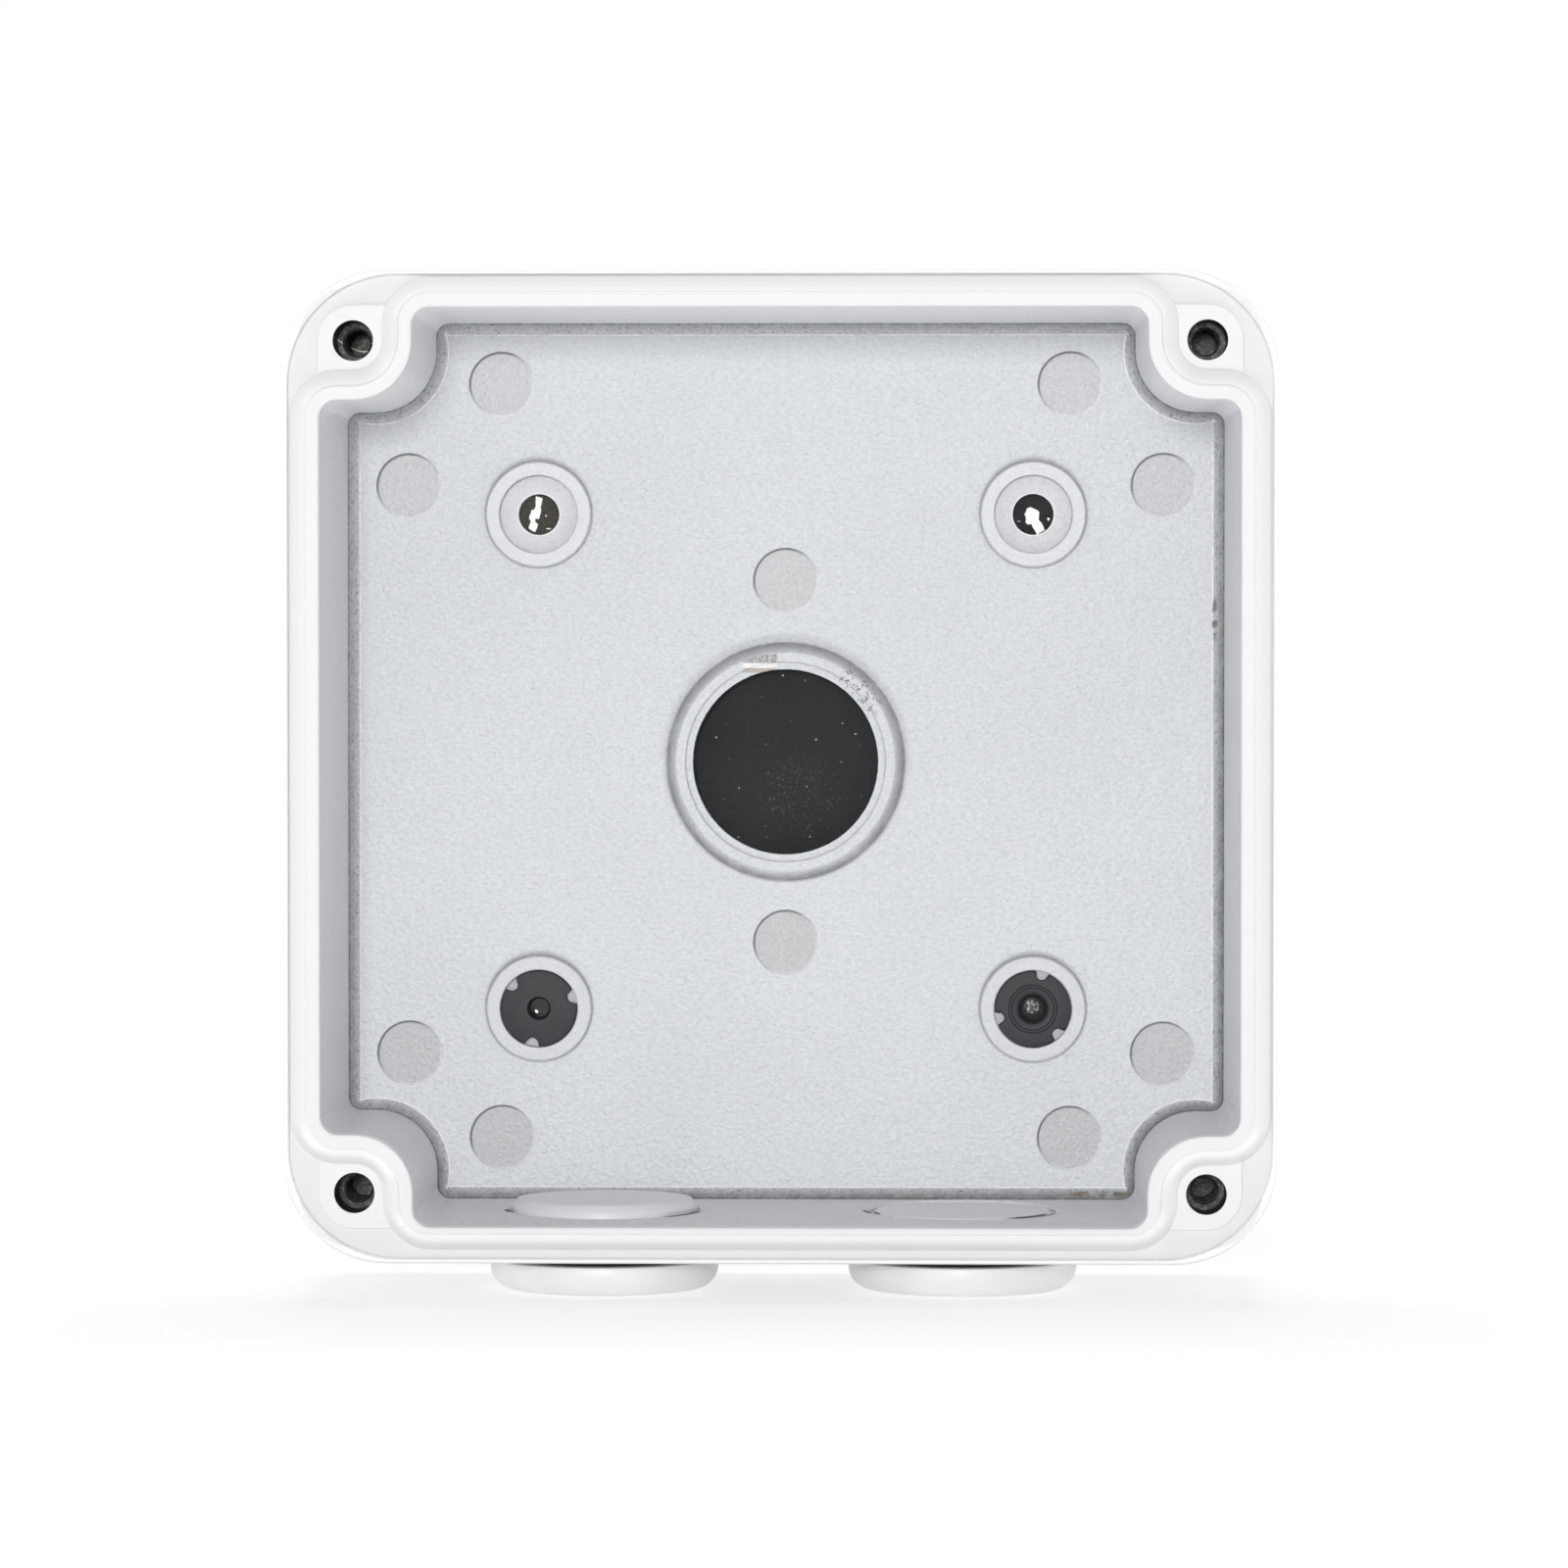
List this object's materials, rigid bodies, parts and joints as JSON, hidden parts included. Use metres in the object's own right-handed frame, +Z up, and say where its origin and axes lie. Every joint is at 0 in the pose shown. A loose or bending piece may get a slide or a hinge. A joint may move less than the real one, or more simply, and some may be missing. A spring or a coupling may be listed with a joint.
{
  "type": "camera junction box",
  "caption": "Square die-cast junction box for a wall camera, open at the front, with two plugged conduit inlets below and a foam wall pad behind.",
  "frame": {"origin": "middle of the face that meets the wall, which is the back of the foam pad", "axes": "+Z up as mounted, +X to the right seen from the front, the open front faces -Y"},
  "size_m": [0.137, 0.045, 0.1425],
  "materials": {
    "casting": "white powder coat on die-cast aluminium, satin, fine texture",
    "plug_plastic": "white moulded plastic",
    "black_rubber": "black rubber, dull",
    "black_foam": "black closed-cell foam, dusty"
  },
  "bodies": {
    "box": {"box_body": "casting", "wall_pad": "black_foam", "screw_seal_left": "black_rubber", "screw_seal_right": "black_rubber"},
    "left_washer": {"plug_washer_left": "black_rubber"},
    "left_plug": {"inlet_plug_left": "plug_plastic"},
    "right_washer": {"plug_washer_right": "black_rubber"},
    "right_plug": {"inlet_plug_right": "plug_plastic"}
  },
  "joints": [
    {"name": "left_plug_travel", "type": "slide", "parent": "box", "child": "left_washer", "axis": [0, 0, -1], "range_m": [0, 0.00635]},
    {"name": "left_plug_turn", "type": "hinge", "parent": "left_washer", "child": "left_plug", "pos_m": [-0.0253, -0.0205, -0.0678], "axis": [0, 0, -1], "range_deg": [0, 1260]},
    {"name": "right_plug_travel", "type": "slide", "parent": "box", "child": "right_washer", "axis": [0, 0, -1], "range_m": [0, 0.00454]},
    {"name": "right_plug_turn", "type": "hinge", "parent": "right_washer", "child": "right_plug", "pos_m": [0.0253, -0.0205, -0.0678], "axis": [0, 0, -1], "range_deg": [0, 900]}
  ],
  "couplings": [
    {"joint": "left_plug_travel", "follows": "left_plug_turn", "m_per_rad": 0.00028871},
    {"joint": "right_plug_travel", "follows": "right_plug_turn", "m_per_rad": 0.00028871}
  ]
}
